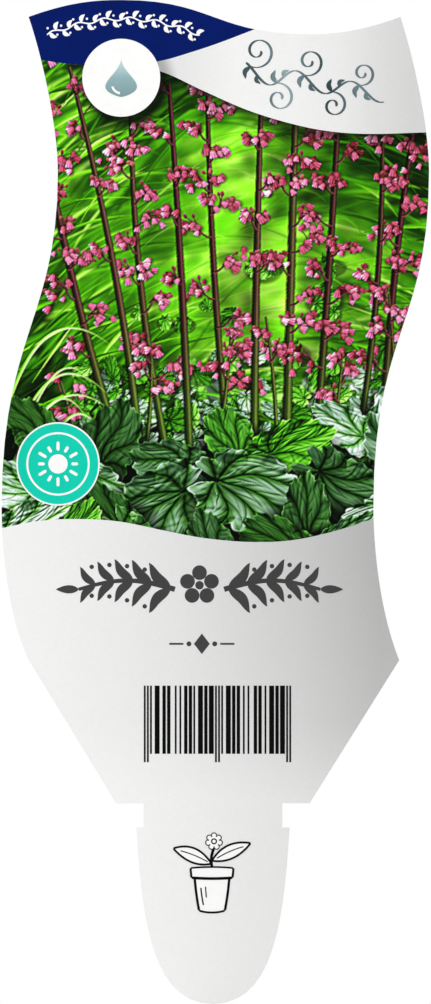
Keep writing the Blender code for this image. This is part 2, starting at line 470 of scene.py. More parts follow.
def backdrop(rng, x, z):
    """Lit haze, then grass in three depths, the farther the softer, with dark hollows between."""
    haze = 0.9 * glow(x, z) + 0.3 * (cloud(7, rng) - 0.5) + 0.2 * (cloud(2.6, rng) - 0.5)
    canvas = tones(GRASS, share(haze))
    grass(canvas, rng, count=460, width=(1.2, 3.0), long=(14, 34), light=0.0, spread=0.15)
    canvas = soften(canvas, 0.6)
    grass(canvas, rng, count=360, width=(0.5, 1.5), long=(12, 30), light=0.0, spread=0.2)
    canvas = soften(canvas, 0.2)
    hollow = cloud(4.2, rng) * 0.55 + cloud(1.9, rng) * 0.45
    depth = share((hollow - 0.47) * 4.2) * share(1.15 - 1.35 * glow(x, z))
    lay(canvas, ALL, DEEP_GREEN, depth * 0.9)
    grass(canvas, rng, count=300, width=(0.3, 0.9), long=(9, 24), light=0.08, spread=0.24)
    foot = share((68 - z - 2.5 * np.sin(x / 5)) / 10)
    lay(canvas, ALL, DEEP_GREEN, foot * 0.8)
    return canvas


def small_leaves(canvas, rng, count, x_range, z_range, lime_share):
    """Small leaves strewn over an area, some lime green and the others silver."""
    for _ in range(count):
        middle = rng.uniform(*x_range), rng.uniform(*z_range)
        lime = rng.random() < lime_share
        light = rng.uniform(0.5, 0.82) if lime else rng.uniform(0.6, 0.95)
        leaf(canvas, rng, *middle, rng.uniform(1.4, 3.4), rng.uniform(0, 2 * np.pi), rng.uniform(0.4, 0.9),
             light, 0.0 if lime else 0.9, lobes=7, shadow=0.4)


def paint():
    """The whole picture, from back to front: grass that is out of focus in its light middle, small
    leaves, flowering stems, big leaves, and the soft shadows that the band and the disc throw. In the end
    its edges are sharpened by what a blur takes away."""
    rng, patch_rng = np.random.default_rng(SEED), np.random.default_rng(SEED + 1)
    x, z = np.meshgrid(LEFT + (np.arange(COLS) + 0.5) * CELL, LOW + (np.arange(ROWS) + 0.5) * CELL)
    canvas = backdrop(rng, x, z)
    for *where, light, silver in BACK_LEAVES:
        leaf(canvas, rng, *where, light, silver, shadow=0.4)
    canvas = soften(canvas, 0.12)
    grass(canvas, rng, count=330, width=(0.22, 0.75), long=(8, 22), light=0.10, spread=0.26)
    patches = 1 + 0.9 * (cloud(5.5, patch_rng) - 0.5) + 0.5 * (cloud(2.4, patch_rng) - 0.5)
    far_off = share(1.5 * bump(x - 8, 24) * bump(z - 98, 24) - 0.15)
    lay(canvas, ALL, soften(canvas, 0.55) * patches[..., None], 0.8 * far_off)
    small_leaves(canvas, rng, count=18, x_range=(-14, 24), z_range=(70, 92), lime_share=1.0)
    small_leaves(canvas, rng, count=90, x_range=(-24, 37), z_range=(58, 77), lime_share=0.55)
    for foot, top, few in TALL_STEMS:
        foot_z, top_z = 60 + rng.uniform(-3, 4), rng.uniform(122, 134)
        sway, width = rng.uniform(-3.2, 3.2), rng.uniform(0.75, 1.15)
        light = rng.uniform(0.30, 0.40) - 0.05 * (top > 20)
        first = (88 if few else 74) + rng.uniform(-4, 6)
        fat = 2.5 if few else rng.uniform(3.2, 4.2)
        pitch = 9.5 if few else 5.6
        spire(canvas, rng, (foot, foot_z), (top, top_z), sway, width, light, first, pitch, fat)
    for foot, top_x, top_z in SHORT_STEMS:
        spire(canvas, rng, (foot, 57), (top_x, top_z), sway=0.6, width=0.55, light=0.38, first=top_z - 6,
              pitch=3.4, fat=2.4)
    for _ in range(LIME_BLADES):
        start = np.array([rng.uniform(-38, -30), rng.uniform(50, 68)])
        rise = start + (rng.uniform(3, 8), rng.uniform(12, 22))
        end = start + (rng.uniform(12, 20), rng.uniform(-2, 12))
        blade(canvas, (start, rise, end), rng.uniform(0.25, 0.5),
              lambda s, v: tones(LIME, share(0.72 + 0.25 * np.sin(np.pi * s) - 0.15 * v)), end=0.1)
    for *where, light, silver in FRONT_LEAVES:
        leaf(canvas, rng, *where, light, silver, shadow=0.92)
    canvas += SHARPEN * (canvas - soften(canvas, 0.25))
    below_band = np.maximum(np.interp(x, *np.array(BAND_FOOT).T) - z, 0)
    lay(canvas, ALL, DEEP_GREEN, BAND_SHADE * np.exp(-below_band / BAND_REACH) * (x > BAND_START - 1))
    from_disc = np.maximum(np.hypot(x - DISC[0] - 0.7, z - DISC[1] + 0.9) - DISC[2], 0)
    lay(canvas, ALL, DEEP_GREEN, DISC_SHADE * np.exp(-from_disc / DISC_REACH))
    return share(canvas)


def picture_tones(x, z):
    """The painted canvas read at points on the face, by straight lines between its cells."""
    u = np.clip((x - LEFT) / CELL - 0.5, 0, COLS - 1.001)
    v = np.clip((z - LOW) / CELL - 0.5, 0, ROWS - 1.001)
    j, i = u.astype(int), v.astype(int)
    fu, fv = (u - j)[:, None], (v - i)[:, None]
    lower = CANVAS[i, j] * (1 - fu) + CANVAS[i, j + 1] * fu
    upper = CANVAS[i + 1, j] * (1 - fu) + CANVAS[i + 1, j + 1] * fu
    return linear(lower * (1 - fv) + upper * fv)


# The sheet's rim and lines on it

def rim_of_face():
    """The flat printed face's rim in mm, as (x, z) rows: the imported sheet's vertices on the face."""
    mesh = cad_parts["label"].data
    points = np.zeros(len(mesh.vertices) * 3, np.float32)
    mesh.vertices.foreach_get("co", points)
    points = points.reshape(-1, 3).astype(float) / MM
    on_face = points[:, 1] < FACE + TOUCH
    return np.unique(np.round(points[on_face][:, ::2], 4), axis=0)


def stretch(start, end):
    """The rim between two corners of the head: its points in the order of their turn about the head's
    middle, counted from straight down through the right side."""
    away = RIM - HEAD_MIDDLE
    turns = np.mod(np.arctan2(away[:, 1], away[:, 0]) + np.pi / 2, 2 * np.pi)
    low, high = (turns[np.hypot(*(RIM - CORNERS[name]).T).argmin()] for name in (start, end))
    keep = (turns >= low) & (turns <= high) & (RIM[:, 1] > HIPS - 0.5)
    return RIM[keep][np.argsort(turns[keep])]


RIM = rim_of_face()
RIGHT_SIDE = stretch("right_hip", "right_top")
TOP_SIDE = stretch("right_top", "left_top")[::-1]
LEFT_SIDE = stretch("left_top", "left_hip")[::-1]


def smooth_line(points, count):
    """A smooth line through the points: cubic arcs that have the slope of its two neighbours at each."""
    points = np.asarray(points, float)
    slope = np.gradient(points, axis=0)
    t = np.linspace(0, len(points) - 1, count)
    k = np.minimum(t.astype(int), len(points) - 2)
    f = (t - k)[:, None]
    a, b, da, db = points[k], points[k + 1], slope[k], slope[k + 1]
    return (a * (1 + 2 * f) + da * f) * (1 - f) ** 2 + (b * (3 - 2 * f) + db * (f - 1)) * f ** 2


def length_along(line):
    """The length of a line up to each of its points."""
    return np.append(0, np.cumsum(np.hypot(*np.diff(line, axis=0).T)))


def even(line, count):
    """The same line with its points spaced evenly along it."""
    far = length_along(line)
    at = np.linspace(0, far[-1], count)
    return np.stack([np.interp(at, far, line[:, 0]), np.interp(at, far, line[:, 1])], -1)


def side(points, low, high, count):
    """A stretch of the sheet's left or right side between two heights, evenly spaced in height."""
    z = np.linspace(low, high, count)
    return np.stack([np.interp(z, points[:, 1], points[:, 0]), z], -1)


def on_sheet(points, count):
    """The smooth line through the points, cut off at the sheet's sides and spaced evenly."""
    fine, reach = 4000, 0.5        # an end within the reach of the sheet's edge is drawn onto it
    line = smooth_line(points, fine)
    left = np.interp(line[:, 1], LEFT_SIDE[:, 1], LEFT_SIDE[:, 0])
    right = np.interp(line[:, 1], RIGHT_SIDE[:, 1], RIGHT_SIDE[:, 0])
    keep = (line[:, 0] > left) & (line[:, 0] < right)
    line, left, right = line[keep], left[keep], right[keep]
    for end, edge in ((0, left), (-1, right)):
        if abs(line[end, 0] - edge[end]) < reach:
            line[end, 0] = edge[end]
    return even(line, count)


def upper_edge(start, end):
    """The sheet's upper edge between two places across."""
    x = np.linspace(start, end, 400)
    return np.stack([x, np.interp(x, *TOP_SIDE.T)], -1)


def between(foot, head, left, right):
    """A patch between four lines (a Coons patch): the sum of the blends of its opposite sides, less the
    blend of its corners. Rows rise from foot to head, and columns run from left to right."""
    u = np.linspace(0, 1, len(foot))[None, :, None]
    v = np.linspace(0, 1, len(left))[:, None, None]
    across = left[:, None] * (1 - u) + right[:, None] * u
    up = foot[None] * (1 - v) + head[None] * v
    corners = (foot[0] * (1 - u) + foot[-1] * u) * (1 - v) + (head[0] * (1 - u) + head[-1] * u) * v
    patch = across + up - corners
    return patch[..., 0], patch[..., 1]


# Meshes

def piece_of(name, points, quads, material):
    """A new object at the origin, its mesh made of points in mm and of four-cornered faces."""
    mesh = bpy.data.meshes.new(name)
    mesh.from_pydata((points * MM).tolist(), [], quads.tolist())
    mesh.materials.append(material)
    piece = bpy.data.objects.new(name, mesh)
    bpy.context.scene.collection.objects.link(piece)
    return piece


def cells_of(shape, start=0):
    """The corner numbers of a grid's cells, counter-clockwise where columns run right and rows run up."""
    index = start + np.arange(shape[0] * shape[1]).reshape(shape)
    return np.stack([index[:-1, :-1], index[:-1, 1:], index[1:, 1:], index[1:, :-1]], -1).reshape(-1, 4)


def levels(shapes):
    """A level for each shape: the lowest that no earlier shape has whose bounds cross its own."""
    bounds = [(x.min() + FILM, x.max(), z.min() + FILM, z.max()) for x, z in shapes]
    chosen = []
    for a in bounds:
        taken = {level for level, b in zip(chosen, bounds)
                 if a[0] < b[1] and b[0] < a[1] and a[2] < b[3] and b[2] < a[3]}
        chosen.append(min(set(range(len(bounds))) - taken))
    return chosen


def film(name, shapes, layer, material, paint_with=None):
    """A printed film as one mesh. Each shape is a grid of x and z in mm, turned about if need be so that
    it looks to the front, and the film lies `layer` steps before the face. Where shapes cross, the later
    one lies a hair further forward. `paint_with` gives the colours of the film's points, which it keeps
    as an attribute."""
    points, quads, start = [], [], 0
    for (x, z), level in zip(shapes, levels(shapes)):
        rise_x, rise_z = x[1:, 1:] - x[:-1, :-1], z[1:, 1:] - z[:-1, :-1]
        fall_x, fall_z = x[1:, :-1] - x[:-1, 1:], z[1:, :-1] - z[:-1, 1:]
        if np.sum(rise_x * fall_z - rise_z * fall_x) < 0:
            x, z = x[:, ::-1], z[:, ::-1]
        quads.append(cells_of(x.shape, start))
        points.append(np.stack([x, 0 * x + FACE - FILM * layer - CROSSING * level, z], -1).reshape(-1, 3))
        start += x.size
    points, quads = np.concatenate(points), np.concatenate(quads)
    piece = piece_of(name, points, quads, material)
    flat = points[:, ::2]
    spread = 0.01 + 0.98 * (flat - flat.min(0)) / np.ptp(flat, axis=0)
    piece.data.uv_layers.new(name="OFBake").data.foreach_set("uv", spread[quads.ravel()].ravel())
    if paint_with is not None:
        colours = np.ones((len(points), 4), np.float32)
        colours[:, :3] = paint_with(flat[:, 0], flat[:, 1])
        attribute = piece.data.attributes.new("print", "FLOAT_COLOR", "POINT")
        attribute.data.foreach_set("color", colours.ravel())
    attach(piece, "root")


# Areas of print

def picture_strips(strips=3):
    """The picture between its wave at the foot and its edge at the head, as strips of fine cells that
    share their border rows."""
    width, height, pitch = 73, 80, 0.155
    columns, rows = int(width / pitch), int(height / pitch)
    foot, head = on_sheet(PICTURE_FOOT, columns), on_sheet(BAND_FOOT, columns)
    x, z = between(foot, head, side(LEFT_SIDE, foot[0, 1], head[0, 1], rows),
                   side(RIGHT_SIDE, foot[-1, 1], head[-1, 1], rows))
    cuts = np.linspace(0, rows - 1, strips + 1).astype(int)
    return [(x[a:b + 1], z[a:b + 1]) for a, b in zip(cuts, cuts[1:])]


def corner_area():
    """The navy corner: from its waved foot up to the sheet's upper edge, to a point at the right."""
    columns, rows = 120, 30
    foot = on_sheet(CORNER_FOOT, columns)
    head = even(upper_edge(TOP_SIDE[0, 0], foot[-1, 0]), columns)
    left = side(LEFT_SIDE, foot[0, 1], head[0, 1], rows)
    return between(foot, head, left, np.linspace(foot[-1], head[-1], rows))


def band_area():
    """The silver-grey band: from under the disc along the picture's head to the sheet's right side, up to
    the navy corner's foot and the sheet's upper edge."""
    columns, rows, fine = 160, 40, 600
    foot = on_sheet(BAND_FOOT, fine)
    foot = even(foot[foot[:, 0] > BAND_START], columns)
    navy_foot = smooth_line(CORNER_FOOT, fine)
    navy_foot = navy_foot[navy_foot[:, 0] > BAND_START]
    head = np.concatenate([navy_foot, upper_edge(navy_foot[-1, 0] + 0.05, TOP_SIDE[-1, 0])])
    head = even(head, columns)
    right = side(RIGHT_SIDE, foot[-1, 1], head[-1, 1], rows)
    return between(foot, head, np.linspace(foot[0], head[0], rows), right)


def field_areas():
    """The grey field: from the picture's foot down to the hips and the shoulders, then the neck, and the
    tongue, whose rows close up towards its round tip as the sine of a quarter turn."""
    inset = 0.04
    columns, upper_rows, lower_rows = 120, 50, 30
    narrow_columns, neck_rows, tongue_rows = 40, 8, 70
    foot = on_sheet(PICTURE_FOOT, columns)
    hips = np.linspace(LEFT_SIDE[0], RIGHT_SIDE[0], columns)
    upper = between(hips, foot, side(LEFT_SIDE, hips[0, 1], foot[0, 1], upper_rows),
                    side(RIGHT_SIDE, hips[-1, 1], foot[-1, 1], upper_rows))
    low = SHOULDERS + inset
    shoulders = np.linspace((-SHOULDER_HALF, low), (SHOULDER_HALF, low), columns)
    lower = between(shoulders, hips, np.linspace(shoulders[0], hips[0], lower_rows),
                    np.linspace(shoulders[-1], hips[-1], lower_rows))
    neck_half = NECK_HALF - inset
    neck = np.meshgrid(np.linspace(-neck_half, neck_half, narrow_columns),
                       np.linspace(BARBS - inset, low, neck_rows))
    below = RIM[(RIM[:, 1] < BARBS) & (RIM[:, 0] > -TOUCH)]
    right_half = below[(below[:, 1] < BARBS - 1) | (below[:, 0] > NECK_HALF)]
    right_half = right_half[np.argsort(right_half[:, 1])]
    depth = BARBS - inset - right_half[0, 1] - 0.01
    z = BARBS - inset - depth * np.sin(np.linspace(0, np.pi / 2, tongue_rows))[::-1, None]
    reach = np.interp(z, right_half[:, 1], right_half[:, 0])
    across = np.linspace(-1, 1, narrow_columns)[None, :]
    return [upper, lower, neck, (reach * across, z + 0 * across)]


# Shapes that are drawn on the films

def ribbon(line, half, across=3):
    """A pen stroke: a line with its half width laid off to both sides along its normals."""
    step = np.gradient(line, axis=0)
    step /= np.hypot(step[:, 0], step[:, 1])[:, None]
    v = np.linspace(-1, 1, across)[None, :]
    half = np.broadcast_to(half, len(line))[:, None]
    return line[:, :1] - step[:, 1:] * half * v, line[:, 1:] + step[:, :1] * half * v


def round_ends(line, half):
    """The half width of a stroke with round ends: a circle's arc over its last half width."""
    far = length_along(line)
    near = np.minimum(far, far[-1] - far)
    return half * np.sqrt(share(1 - (1 - np.clip(near / half, 0.02, 1)) ** 2))


def nib(line, thick):
    """The half width of a broad nib's stroke with round ends: full where the line runs up or down, and a
    third where it runs across."""
    rounding, thin = 0.35, 0.34
    step = np.gradient(line, axis=0)
    rise = np.abs(step[:, 1]) / (np.hypot(step[:, 0], step[:, 1]) + 1e-9)
    return round_ends(line, rounding) / rounding * thick * (thin + (1 - thin) * rise)


def spot(x, z, radius, cells=8):
    """A round spot: a square grid drawn out to a circle, each way by what the other leaves of it."""
    a, b = np.meshgrid(np.linspace(-1, 1, cells + 1), np.linspace(-1, 1, cells + 1))
    return x + radius * a * np.sqrt(1 - b ** 2 / 2), z + radius * b * np.sqrt(1 - a ** 2 / 2)


def hoop(x, z, inner, outer, start=0.0, end=360.0, count=72):
    """A ring, or part of one, between two radii and two angles in degrees."""
    turn = np.radians(np.linspace(start, end, count))[:, None]
    r = np.array([[inner, outer]])
    return x + r * np.cos(turn), z + r * np.sin(turn)


def leaflet(x, z, length, width, turn, curve=0.12, count=15):
    """A pointed leaf from its root: the half width is that of a sine arch drawn towards the root, about a
    midrib that bends by a share of the length. `turn` is its direction in degrees."""
    s = np.linspace(0.01, 0.99, count)
    along, off = length * s, length * curve * np.sin(np.pi * s) ** 2
    c, d = np.cos(np.radians(turn)), np.sin(np.radians(turn))
    line = np.stack([x + along * c - off * d, z + along * d + off * c], -1)
    return ribbon(line, 0.5 * width * np.sin(np.pi * s ** 0.8) ** 0.85)


def curl(x, z, heading, radius, turns, hand):
    """A spiral that leaves a point along a heading, in degrees, and winds inwards: the radius falls in a
    straight line to a sixth. `hand` is 1 to the left and -1 to the right."""
    s = np.linspace(0, 1, int(40 * turns) + 12)
    start = np.radians(heading) - hand * np.pi / 2
    turn = start + hand * 2 * np.pi * turns * s
    middle = np.array([x, z]) - radius * np.array([np.cos(start), np.sin(start)])
    return middle + (radius * (1 - 0.84 * s))[:, None] * np.stack([np.cos(turn), np.sin(turn)], -1)


def garland():
    """A running vine on an arc in the navy corner: a thin waved stem with leaves to both sides in turn
    and a berry across from each."""
    middle, radius, reach = np.array([-15.27, 101.74]), 32.1, 24.0
    half_wave, waves, pitch = 0.3, 45, 2.0
    leaf_long, leaf_wide, leaf_turn, berry, berry_away = 1.5, 0.72, 52, 0.2, 0.82

    def at(degrees):
        turn = np.radians(np.atleast_1d(degrees))
        out = np.stack([np.sin(turn), np.cos(turn)], -1)
        return middle + (radius + half_wave * np.sin(turn * waves))[:, None] * out, out

    line, _ = at(np.linspace(-reach, reach, 160))
    shapes = [ribbon(line, round_ends(line, 0.12))]
    for k, degrees in enumerate(np.arange(-reach + pitch / 2, reach, pitch)):
        hand = 1 if k % 2 else -1
        (root,), (out,) = at(degrees)
        turn = leaf_turn * hand - degrees
        shapes.append(leaflet(*(root + 0.05 * hand * out), leaf_long, leaf_wide, turn, curve=0.16 * hand))
        shapes.append(spot(*(root - berry_away * hand * out), berry, cells=4))
    return shapes


def drop(x, z, size):
    """A water drop, its point up: its half width at share s from the top is 0.46 sizes times the sine of
    pi s^1.9 to the power 0.75, times s^0.35."""
    s = np.linspace(0.004, 0.996, 40)
    line = np.stack([x + 0 * s, z + size * (0.5 - s)], -1)
    return ribbon(line, 0.46 * size * np.sin(np.pi * s ** 1.9) ** 0.75 * s ** 0.35, 7)


def flourish():
    """A running scroll in the silver band: a broad-nibbed stroke that waves along a falling line, a
    spiral to each side of it in turn, and two leaves at the root of each spiral."""
    start, run, waves = np.array([5.6, 124.9]), np.array([23.6, -4.1]), 2.5
    s = np.linspace(0, 1, 240)
    main = start + run * s[:, None]
    main[:, 1] += (1.7 - 0.4 * s) * np.cos(2 * np.pi * waves * s + 0.5)
    shapes = [ribbon(main, nib(main, 0.26))]
    hand = 1
    for at, radius in ((0.03, 2.9), (0.22, 2.6), (0.42, 2.5), (0.62, 2.3), (0.82, 2.1)):
        i = int(at * (len(s) - 1))
        step = main[i + 1] - main[i]
        heading = np.degrees(np.arctan2(step[1], step[0]))
        line = curl(*main[i], heading + 20 * hand, radius, turns=1.35, hand=hand)
        shapes.append(ribbon(line, nib(line, 0.23)))
        shapes.append(leaflet(*main[i], 2.3, 0.85, heading - 62 * hand, curve=-0.2 * hand))
        shapes.append(leaflet(*main[i + 12], 1.7, 0.7, heading - 20 * hand, curve=-0.25 * hand))
        hand = -hand
    return shapes


def seal_drawing():
    """The seal's drawing: a ring inside its rim, and a sun of twelve rays, every second one longer."""
    x, z, radius = SEAL
    rays, root, tips = 12, 0.33 * radius, (0.5 * radius, 0.56 * radius)
    shapes = [hoop(x, z, 0.74 * radius, 0.79 * radius, count=120), spot(x, z, 0.24 * radius, rays)]
    for k in range(rays):
        turn = np.radians(360 / rays * k)
        way = np.array([np.cos(turn), np.sin(turn)])
        line = np.linspace((x, z) + root * way, (x, z) + tips[k % 2] * way, 14)
        shapes.append(ribbon(line, round_ends(line, 0.26)))
    return shapes


def laurel():
    """The big ornament under the picture: two branches on sine arches that run out from a blossom in the
    middle, each with leaves in pairs that get smaller outwards, and berries in their forks."""
    x0, z0 = -2.3, 37.2
    start, reach, drop_down, arch = 4.2, 16.4, 0.7, 1.5          # of a branch
    pairs, first, apart, open_angle = 5, 0.05, 0.195, 50         # of its leaves
    shapes = []
    for hand in (-1, 1):
        s = np.linspace(0, 1, 60)
        line = np.stack([x0 + hand * (start + reach * s), z0 - drop_down + arch * np.sin(np.pi * s)], -1)
        shapes.append(ribbon(line, 0.46 - 0.18 * s))
        for k in range(pairs):
            at = first + apart * k
            root = np.array([np.interp(at, s, line[:, 0]), np.interp(at, s, line[:, 1])])
            size = 5.6 - 0.4 * k
            for way in (-1, 1):
                turn = open_angle * way if hand > 0 else 180 - open_angle * way
                shapes.append(leaflet(*root, size, 0.32 * size, turn, curve=-0.1 * way * hand))
                if k < pairs - 1:
                    fork = (hand * (1.75 + 0.46 * size), way * 0.56 * size)
                    shapes.append(spot(*(root + fork), 0.38, cells=5))
        shapes.append(leaflet(*line[-1], 3.9, 1.4, 0 if hand > 0 else 180, curve=0.0))
    petals, ring = 5, 2.15
    for k in range(petals):
        turn = np.radians(90 + 360 / petals * k)
        shapes.append(spot(x0 + ring * np.cos(turn), z0 + ring * np.sin(turn), 1.25))
    shapes.append(spot(x0, z0, 0.72))
    return shapes


def small_ornament():
    """The small ornament: a lozenge between two dots and two thin rules."""
    x0, z0 = -1.9, 27.2
    left, head, right, foot = np.array([(-1.35, 0), (0, 1.75), (1.35, 0), (0, -1.75)]) + (x0, z0)
    shapes = [between(np.stack([foot, right]), np.stack([left, head]),
                      np.stack([foot, left]), np.stack([right, head]))]
    for hand in (-1, 1):
        shapes.append(spot(x0 + hand * 2.2, z0, 0.42, 5))
        rule = np.stack([x0 + hand * np.linspace(3.1, 5.6, 20), np.full(20, z0)], -1)
        shapes.append(ribbon(rule, round_ends(rule, 0.16)))
    return shapes


def bars():
    """A row of upright bars as on shop goods: two bars and two gaps to every seven modules, their widths
    by a rule, and longer pairs of guard bars at both ends and in the middle. Each bar is a little wider
    than its modules, as ink spreads."""
    module, gain, to_a_group = 0.264, 0.05, 7
    left_end, foot, head, guard_foot = -11.77, 8.44, 20.07, 7.01
    groups = 12
    modules = [(0, 1, guard_foot), (2, 1, guard_foot)]       # start, width and foot of each bar
    at = 3
    for k in range(groups):
        left_half = k < groups // 2
        if k == groups // 2:
            modules += [(at + 1, 1, guard_foot), (at + 3, 1, guard_foot)]
            at += 5
        gap, bar = 1 + (k * k + k // 2) % 3, 1 + (k * 5 + 2) % 2
        last_bar = to_a_group - 1 - gap - bar - (k * 3 + 1) % 2
        start = at + gap if left_half else at    # in the right half the gap comes last
        modules += [(start, bar, foot), (start + to_a_group - gap - last_bar, last_bar, foot)]
        at += to_a_group
    modules += [(at, 1, guard_foot), (at + 2, 1, guard_foot)]
    shapes = []
    for start, width, low in modules:
        x = left_end + module * np.array([start, start + width]) + (-gain / 2, gain / 2)
        shapes.append(np.meshgrid(x, [low, head]))
    return shapes


POT = np.array([-0.17, -12.0])
POT_STROKES = (
    # (half width, points of a Bezier curve), from the pot's middle
    (0.21, ((-2.95, -0.7), (-2.75, -3.4), (-2.2, -6.3))),
    (0.17, ((-2.2, -6.3), (-1.0, -6.75), (1.0, -6.75), (2.2, -6.3))),
    (0.21, ((2.2, -6.3), (2.75, -3.4), (2.95, -0.7))),
    (0.19, ((-3.65, 0.95), (-3.6, 0.1), (-3.5, -0.7))),
    (0.24, ((-3.5, -0.7), (0.0, -1.0), (3.5, -0.7))),
    (0.19, ((3.5, -0.7), (3.6, 0.1), (3.65, 0.95))),
    (0.15, ((-3.65, 0.95), (0.0, 1.3), (3.65, 0.95))),
    (0.24, ((0.0, 1.1), (-0.35, 2.6), (0.3, 4.3))),
    (0.17, ((-0.1, 1.7), (-2.6, 5.6), (-6.6, 4.3))),
    (0.17, ((-0.1, 1.7), (-3.6, 0.9), (-6.6, 4.3))),
    (0.09, ((-0.7, 2.0), (-3.0, 3.3), (-5.4, 3.9))),
    (0.17, ((0.0, 2.2), (2.2, 5.9), (6.6, 5.2))),
    (0.17, ((0.0, 2.2), (3.8, 1.6), (6.6, 5.2))),
    (0.09, ((0.8, 2.6), (3.1, 4.0), (5.4, 4.6))),
    (0.12, ((-1.9, -2.4), (-1.75, -4.0), (-1.45, -5.4))),
    (0.10, ((-1.1, -2.2), (-1.05, -3.2), (-0.95, -4.1))),
)
LEAF_EDGES = ((8, 9), (11, 12))           # the strokes above and below each of the pot plant's two leaves
BLOSSOM = POT + (0.35, 5.5)


def pot_line(stroke):
    """The middle line of one of the pot's strokes."""
    return even(bend(np.array(stroke[1]) + POT, 60)[0], 50)


def pot_lines():
    """The line drawing on the tongue: a flower pot with its rim and two strokes of shade, a stem with two
    leaves and their midribs, and a flower of seven petals, all in strokes with round ends."""
    shapes = []
    for stroke in POT_STROKES:
        line = pot_line(stroke)
        shapes.append(ribbon(line, round_ends(line, stroke[0])))
    petals, ring, open_half = 7, 0.98, 118
    for turn in 90 + 360 / petals * np.arange(petals):
        x, z = BLOSSOM + ring * np.array([np.cos(np.radians(turn)), np.sin(np.radians(turn))])
        shapes.append(hoop(x, z, 0.38, 0.55, turn - open_half, turn + open_half, 30))
    shapes.append(hoop(*BLOSSOM, 0.3, 0.52, count=30))
    return shapes


def pot_ground():
    """The white ground inside the line drawing: pot, rim, leaves and petals."""
    shapes = []
    pot, rim = (2.2, 2.95, -6.5, -0.8), (3.5, 3.65, -0.8, 1.05)      # half widths, then heights
    for foot_half, head_half, foot, head in (pot, rim):
        x = POT[0] + np.array([[-foot_half, foot_half], [-head_half, head_half]])
        shapes.append((x, POT[1] + np.array([[foot, foot], [head, head]])))
    for upper, lower in LEAF_EDGES:
        edges = [pot_line(POT_STROKES[k])[2:-1, None] for k in (upper, lower)]
        v = np.linspace(0, 1, 4)[None, :, None]
        patch = edges[0] * (1 - v) + edges[1] * v
        shapes.append((patch[..., 0], patch[..., 1]))
    shapes.append(spot(*BLOSSOM, 1.35))
    return shapes


# Finishes

def material_of(name, roughness, specular, tint, relief=None):
    """A new material with a plastic shader. `tint` gives its colour and `relief` its surface, both from
    the node tree and the Object coordinates."""
    material = bpy.data.materials.new(name)
    material.use_nodes = True
    tree = material.node_tree
    tree.nodes.clear()
    place = add(tree, "TexCoord").outputs["Object"]
    surface = {"Roughness": roughness, "Specular IOR Level": specular, "Base Color": tint(tree, place)}
    if relief:
        surface["Normal"] = relief(tree, place)
    shader = add(tree, "BsdfPrincipled", surface)
    add(tree, "OutputMaterial", {"Surface": shader.outputs[0]})
    return material


def clouds(size, deeper, lighter, detail=2.0):
    """A tint in clouds about `size` mm across, from one tone to a slightly lighter one."""
    def tint(tree, place):
        noise = add(tree, "TexNoise", {"Vector": place, "Scale": 1 / (size * MM), "Detail": detail})
        stops = (0.3, deeper), (0.7, lighter)
        return add(tree, "ValToRGB", {"Fac": noise.outputs["Fac"]}, stops).outputs["Color"]
    return tint


def bumps(size, depth, strength):
    """A relief of fine bumps, their width and depth in mm."""
    def relief(tree, place):
        noise = add(tree, "TexNoise", {"Vector": place, "Scale": 1 / (size * MM), "Detail": 2.0})
        raised = {"Height": noise.outputs["Fac"], "Strength": strength, "Distance": depth * MM}
        return add(tree, "Bump", raised).outputs["Normal"]
    return relief


def way_along(tree, place, axis, low, high):
    """The share of the way along one axis between two places in mm."""
    parts = add(tree, "SeparateXYZ", {"Vector": place})
    ends = {"Value": parts.outputs[axis], "From Min": low * MM, "From Max": high * MM}
    return add(tree, "MapRange", ends).outputs["Result"]


def polypropylene():
    """Calendered polypropylene sheet, white all through. To the eye a clean satin white with hardly
    visible clouds, its highlights broken up by the fine orange peel that the rollers leave."""
    white_sheet = clouds(14, "#f6f6f4", "#fafaf9", detail=3.0)
    peel = bumps(size=0.7, depth=0.04, strength=0.12)
    name = "calendered_white_polypropylene"
    return material_of(name, roughness=0.42, specular=0.4, tint=white_sheet, relief=peel)


def board():
    """Matt white board under the label. To the eye a plain pale ground that only takes its shadow."""
    pale = clouds(25, "#dadad8", "#dededc", detail=3.0)
    return material_of("matt_white_board", roughness=0.7, specular=0.2, tint=pale)


def ink(name, tint):
    """Ink under varnish. To the eye a quiet satin without glare, with a slight unevenness of the ink a
    few tenths of a millimetre wide and a fine grain in the varnish."""
    grain, thinnest = 0.35, 0.97

    def uneven(tree, place):
        noise = add(tree, "TexNoise", {"Vector": place, "Scale": 1 / (grain * MM), "Detail": 2.0})
        thick = add(tree, "MapRange", {"Value": noise.outputs["Fac"], "From Min": 0.3, "From Max": 0.7,
                                       "To Min": thinnest, "To Max": 1.0})
        both = {"Factor": 1.0, "A": tint(tree, place), "B": thick.outputs["Result"]}
        return add(tree, "Mix", both, data_type="RGBA", blend_type="MULTIPLY").outputs["Result"]

    varnish = bumps(size=grain, depth=0.02, strength=0.06)
    return material_of(name, roughness=0.42, specular=0.05, tint=uneven, relief=varnish)


def along(stops, low, high, axis="X"):
    """A tint that changes along one axis, between two places in mm."""
    def tint(tree, place):
        far = way_along(tree, place, axis, low, high)
        return add(tree, "ValToRGB", {"Fac": far}, stops).outputs["Color"]
    return tint


